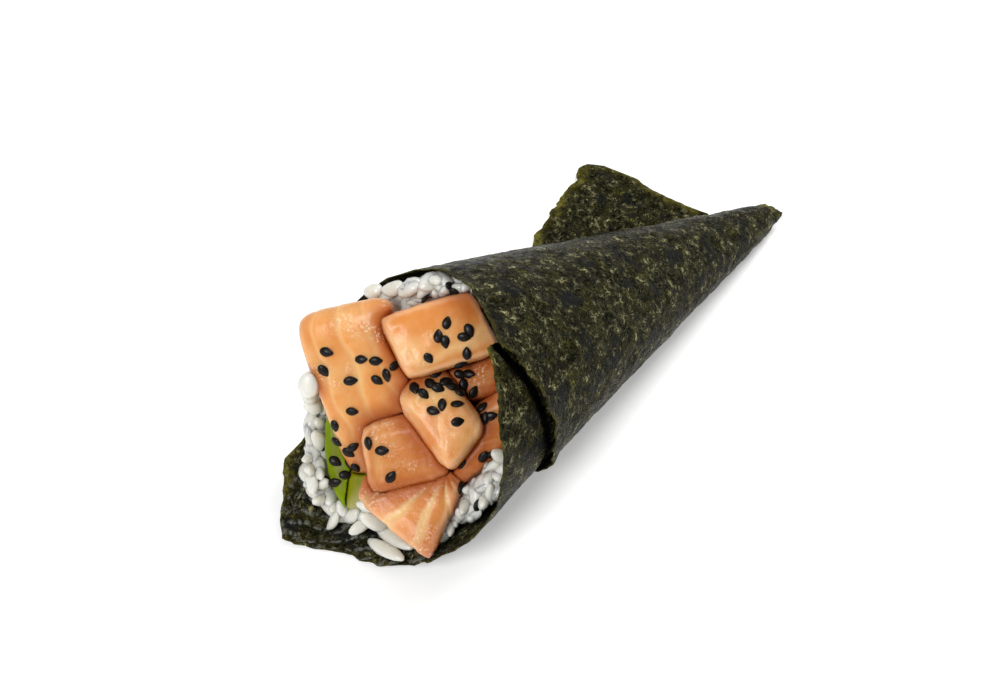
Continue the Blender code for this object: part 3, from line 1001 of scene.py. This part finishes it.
def salmon_flesh(look, node):
    """Moist raw salmon: warm flakes between pale lines, painted shade across each flake and where pieces
    meet, painted sparkle highlights.
    """
    cut = CUTS[node]
    mat, tree, shader = new_material(node + "_skin")
    where = tree.object_place()
    flake = tree.attribute("flake")
    line = tree.between(tree.math('PINGPONG', flake, 0.5), cut.line, cut.line * 0.15)
    # painted shade: each cut's flesh is mixed towards the deep flesh by its depth share
    base = tuple(a + (b - a) * cut.depth for a, b in zip(look.salmon, look.salmon_deep))
    cloud = tree.blotches(where, 110.0, 4.0, 0.5, 0.2)
    color = tree.mix(tree.times(cloud, cut.pale + 0.15), base, look.salmon_pale)
    # painted shade: each flake is painted darker across its width, as the step to the next flake would
    # shade it
    color = tree.mix(tree.times(tree.math('FRACT', flake), 0.22), color, look.salmon_painted_shade)
    color = tree.mix(tree.times(line, cut.strength), color, look.fat)
    color = tree.mix(tree.times(tree.attribute("edge"), 0.55), color, look.salmon_edge)
    # painted shade where the piece lies near another piece, the nori or the rice grains
    color = tree.mix(tree.times(tree.attribute("crevice_shade"), 0.85), color, look.salmon_painted_shade)
    patch = tree.blotches(where, 105.0, 2.0, 0.59, 0.07)
    # painted highlight: pale flecks in the wet patches stand for sparkles of light
    painted_sparkle = tree.times(tree.between(tree.noise(where, 1500.0, 2.0), 0.54, 0.66), patch)
    color = tree.mix(tree.times(painted_sparkle, 0.42), color, (1.0, 0.86, 0.66))
    fine = tree.noise(where, 1700.0, 2.0, 0.6)
    fine = tree.times(fine, tree.plus(0.3, tree.times(patch, 1.2)))
    height = tree.plus(fine, tree.times(tree.noise(where, 380.0), 0.5))
    tree.plug(shader, Base_Color=color, Roughness=tree.between(patch, 0.0, 1.0, 0.28, 0.12),
              Normal=tree.bump(height, 0.55, 0.0004), Specular_IOR_Level=0.34 - 0.30 * cut.depth,
              Subsurface_Weight=0.5, Subsurface_Radius=(1.0, 0.34, 0.12), Subsurface_Scale=0.0034)
    return mat


class HANDROLL_OT_avocado(bpy.types.Operator):
    """Make the avocado slice and the pale slice beside it, and mark where the filling touches, for the
    painted shade there
    """
    bl_idname = "handroll.avocado"
    bl_label = "Avocado"

    def execute(self, context):
        look = context.scene.handroll_filling
        green = soft_piece("avocado_slice", voxel=0.4, grow=0.1, waviness=0.1)
        mark_edges(green)
        finish_piece(green, "avocado", ("avocado_slice",), avocado_flesh(look, "avocado_slice"))
        pale = soft_piece("pale_slice", voxel=0.4, grow=0.1, waviness=0.12)
        finish_piece(pale, "avocado_pale", ("pale_slice",), avocado_flesh(look, "pale_slice"))
        mark_crevice_shade([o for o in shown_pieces() if o.name.endswith("_flesh")],
                      (("nori_sheet", 2.0), ("rice_grains", 0.5)))
        return {'FINISHED'}


def avocado_flesh(look, node):
    """Soft avocado: green by the skin and yellow inside, or pale with a yellow-green side."""
    mat, tree, shader = new_material(node + "_flesh")
    where = tree.object_place()
    cloud = tree.blotches(where, 160.0, 3.0, 0.5, 0.25)
    low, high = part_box(node)
    if node == "avocado_slice":
        inner = tree.between(tree.object_place("Z"), high.z, low.z)
        color = tree.mix(tree.times(inner, 0.5), look.avocado, look.avocado_inner)
        color = tree.mix(tree.times(cloud, 0.2), color, look.avocado_inner)
        color = tree.mix(tree.times(tree.attribute("edge"), 0.6), color, look.avocado_rim)
    else:
        color = tree.mix(tree.times(cloud, 0.5), look.pale, (0.30, 0.31, 0.05))
        wide = high.y - low.y
        beside = tree.between(tree.object_place("Y"), low.y + wide * 0.12, low.y + wide * 0.45)
        color = tree.mix(beside, color, look.avocado_inner)
    tree.plug(shader, Base_Color=color, Roughness=tree.uneven(where, 300.0, 0.3, 0.45),
              Normal=tree.bump(tree.noise(where, 700.0), 0.2, 0.0003), Specular_IOR_Level=0.12,
              Subsurface_Weight=0.2, Subsurface_Radius=(0.6, 0.9, 0.2), Subsurface_Scale=0.0015)
    return mat


# ---- sesame ----
# Seeds on each piece: how far across its box they lie in X, Y and Z, and their turn in degrees.
SEEDS = {
    "salmon_slab": (
        (0.27, 0.69, 0.75, 5), (0.18, 0.66, 0.65, 50), (0.32, 0.52, 0.61, -10),
        (0.46, 0.52, 0.73, -10), (0.54, 0.45, 0.73, 0), (0.48, 0.4, 0.63, 30),
        (0.56, 0.37, 0.66, 70), (0.64, 0.36, 0.71, -20), (0.21, 0.44, 0.45, 0),
        (0.06, 0.49, 0.35, 70), (0.02, 0.45, 0.25, 10), (0.04, 0.36, 0.22, 20),
        (0.08, 0.35, 0.26, -40), (0.03, 0.3, 0.13, 60),
    ),
    "salmon_top_block": (
        (0.51, 0.4, 0.85, -75), (0.38, 0.38, 0.76, -80), (0.4, 0.31, 0.72, 85),
        (0.56, 0.23, 0.74, 10), (0.63, 0.24, 0.78, 75), (0.2, 0.32, 0.62, 60),
        (0.5, 0.14, 0.62, -85), (0.43, 0.15, 0.5, -10),
    ),
    "salmon_middle_chunk": (
        (0.63, 0.7, 0.99, 5), (0.3, 0.73, 0.93, -5), (0.33, 0.62, 0.93, 35),
        (0.49, 0.65, 0.97, 10), (0.52, 0.57, 0.96, 30), (0.66, 0.57, 0.96, 60),
        (0.67, 0.5, 0.94, -85), (0.7, 0.42, 0.91, -30), (0.28, 0.44, 0.86, 15),
        (0.41, 0.41, 0.9, 70), (0.56, 0.32, 0.9, 10), (0.43, 0.2, 0.81, -15),
        (0.3, 0.07, 0.26, -75),
    ),
    "salmon_right_block": (
        (0.27, 0.59, 0.32, 20), (0.2, 0.44, 0.78, 10), (0.28, 0.37, 0.79, 0),
        (0.16, 0.33, 0.7, 75), (0.12, 0.27, 0.61, 50), (0.21, 0.21, 0.63, -60),
    ),
    "rice_bed": (
        (0.25, 0.39, 0.46, 40), (0.14, 0.06, 0.35, -45), (0.29, 0.59, 0.97, 40),
        (0.29, 0.62, 0.98, 70), (0.26, 0.69, 0.91, 5), (0.01, 0.66, 0.18, 35),
        (0.04, 0.76, 0.25, 20),
    ),
    "salmon_right_piece": (
        (0.54, 0.57, 0.87, 60), (0.49, 0.44, 0.83, -85), (0.55, 0.38, 0.85, -20),
        (0.29, 0.13, 0.55, -60), (0.38, 0.06, 0.56, -20),
    ),
    "salmon_fan_slice": ((0.88, 0.22, 0.85, -30),),
    "salmon_lower_block": (
        (0.2, 0.7, 0.78, 60), (0.25, 0.55, 0.76, -10), (0.18, 0.35, 0.54, -60),
    ),
    "avocado_slice": (
        (0.28, 0.43, 0.58, 30), (0.41, 0.33, 0.55, 0), (0.28, 0.25, 0.48, 10),
        (0.11, 0.29, 0.41, -40),
    ),
}
# How far a seed's middle lies over what it lies on, in millimetres.
SEED_HEIGHT = 0.28


def seed_shape(look):
    """One sesame seed: a flat teardrop, its point along +X."""
    places, faces = small_ball(*SEED_MESH)
    x = places[:, 0] * 2
    taper = 1.0 - 0.42 * np.clip(x + 0.1, 0.0, 1.0) ** 1.5
    places[:, 1] *= look.seed_width * taper
    places[:, 2] *= look.seed_width * 0.5 * (1.0 - 0.25 * np.clip(x, 0.0, 1.0))
    places[:, 0] *= look.seed_length
    return places, faces


class HANDROLL_OT_sesame(bpy.types.Operator):
    """Scatter the black sesame seeds over the filling"""
    bl_idname = "handroll.sesame"
    bl_label = "Sesame Seeds"

    def execute(self, context):
        look = context.scene.handroll_sesame
        random.seed(5)
        turns = []
        for node, seeds in SEEDS.items():
            carrier = "rice_grains" if node == "rice_bed" else node + "_flesh"
            tree = tree_of(bpy.data.objects[carrier])
            for *shares, degrees in seeds:
                hit, normal = tree.find_nearest(in_box(*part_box(node), shares))[:2]
                turn = lying_turn(normal, 180 - degrees, random.gauss(0, 0.12), random.gauss(0, 0.15))
                size = random.uniform(0.92, 1.05)
                turns.append((turn * size, (hit + normal * SEED_HEIGHT * MM) / MM))
        seeds = join_copies("sesame_seeds", [seed_shape(look)], turns)
        finish_piece(seeds, "nori", (), sesame_skin(look))
        return {'FINISHED'}


def sesame_skin(look):
    """Black, faintly glossy seed coats, each its own shade."""
    mat, tree, shader = new_material("sesame_black")
    where = tree.object_place()
    color = tree.mix(tree.attribute("tone"), look.black, scaled(look.black, 2.2))
    color = tree.mix(tree.times(tree.noise(where, 1200.0, 2.0), 0.5), color, (0.012, 0.009, 0.007))
    tree.plug(shader, Base_Color=color, Roughness=tree.uneven(where, 800.0, 0.25, 0.42),
              Normal=tree.bump(tree.noise(where, 3500.0, 2.0), 0.4, 0.0001), Specular_IOR_Level=0.22)
    return mat


# ---- stage ----
# The camera looks at the table this far from the roll's middle, in millimetres.
AIM_SHIFT = (-4.2, 9.3)
# Each light: its place from the roll's middle and its width, in metres.
LIGHTS = {"key": ((0.46, 0.0, 0.65), 0.38), "fill": ((-0.52, -0.16, 0.60), 0.3)}


class HANDROLL_OT_stage(bpy.types.Operator):
    """Set up the white table, the soft lights and the camera"""
    bl_idname = "handroll.stage"
    bl_label = "Table, Lights and Camera"

    def execute(self, context):
        look = context.scene.handroll_stage
        low, high = CAD_BOX
        centre = (low + high) / 2
        white_table(look, (centre.x, centre.y, low.z))

        aim = Vector((centre.x + AIM_SHIFT[0] * MM, centre.y + AIM_SHIFT[1] * MM, low.z))
        back = Vector((math.sin(look.azimuth) * math.cos(look.elevation),
                       -math.cos(look.azimuth) * math.cos(look.elevation), math.sin(look.elevation)))
        bpy.ops.object.camera_add(location=aim + back * look.distance,
                                  rotation=(-back).to_track_quat('-Z', 'Y').to_euler())
        camera = bpy.context.object
        camera.name = "camera"
        camera.data.lens = 50.0
        camera.data.sensor_width = 36.0
        camera.data.clip_start = 0.01
        bpy.context.scene.camera = camera

        world = bpy.data.worlds.new("studio")
        context.scene.world = world
        world.use_nodes = True
        background = world.node_tree.nodes["Background"]
        Tree(world.node_tree).plug(background, Color=(1.0, 1.0, 1.0), Strength=look.sky)
        for name, power in (("key", look.key), ("fill", look.fill)):
            shift, size = LIGHTS[name]
            soft_light(name, centre + Vector(shift), centre, size, power)
        context.scene.view_settings.view_transform = 'Standard'
        return {'FINISHED'}


def white_table(look, place):
    """A wide white floor under the roll, a little lit from within so that it stays white."""
    bpy.ops.object.select_all(action='DESELECT')
    bpy.ops.mesh.primitive_plane_add(size=6.0, location=place)
    table = bpy.context.object
    table.name = table.data.name = "table"
    bpy.ops.object.transform_apply(location=True, rotation=False, scale=False)
    mat, tree, shader = new_material("table_white")
    where = tree.object_place()
    tint = tree.mix(tree.noise(where, 6.0, 2.0), look.floor, scaled(look.floor, 0.985))
    tree.plug(shader, Base_Color=tint, Roughness=0.6, Specular_IOR_Level=0.2,
              Emission_Color=(1.0, 1.0, 1.0), Emission_Strength=0.30)
    table.data.materials.append(mat)
    table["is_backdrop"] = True


def soft_light(name, place, aim, size, power):
    bpy.ops.object.light_add(type='AREA', location=place,
                             rotation=(aim - place).to_track_quat('-Z', 'Y').to_euler())
    light = bpy.context.object
    light.name = name
    light.data.shape = 'DISK'
    light.data.size = size
    light.data.energy = power


# ---- panel and running ----
OPERATORS = (HANDROLL_OT_nori, HANDROLL_OT_rice_core, HANDROLL_OT_rice_grains, HANDROLL_OT_salmon,
             HANDROLL_OT_avocado, HANDROLL_OT_sesame, HANDROLL_OT_stage)


class HANDROLL_PT_panel(bpy.types.Panel):
    bl_label = "Hand Roll"
    bl_idname = "HANDROLL_PT_panel"
    bl_space_type = 'VIEW_3D'
    bl_region_type = 'UI'
    bl_category = "Hand Roll"

    def draw(self, context):
        for operator in OPERATORS:
            self.layout.operator(operator.bl_idname)
        for key, group in SETTINGS.items():
            box = self.layout.box()
            for name in group.__annotations__:
                box.prop(getattr(context.scene, key), name)


def register():
    for cls in (*SETTINGS.values(), *OPERATORS, HANDROLL_PT_panel):
        bpy.utils.register_class(cls)
    for key, group in SETTINGS.items():
        setattr(bpy.types.Scene, key, bpy.props.PointerProperty(type=group))


def unregister():
    for key in SETTINGS:
        delattr(bpy.types.Scene, key)
    for cls in reversed((*SETTINGS.values(), *OPERATORS, HANDROLL_PT_panel)):
        bpy.utils.unregister_class(cls)


def main():
    register()
    bpy.ops.handroll.nori()
    bpy.ops.handroll.rice_core()
    bpy.ops.handroll.rice_grains()
    bpy.ops.handroll.salmon()
    bpy.ops.handroll.avocado()
    bpy.ops.handroll.sesame()
    bpy.ops.handroll.stage()


if __name__ == "__main__":
    main()
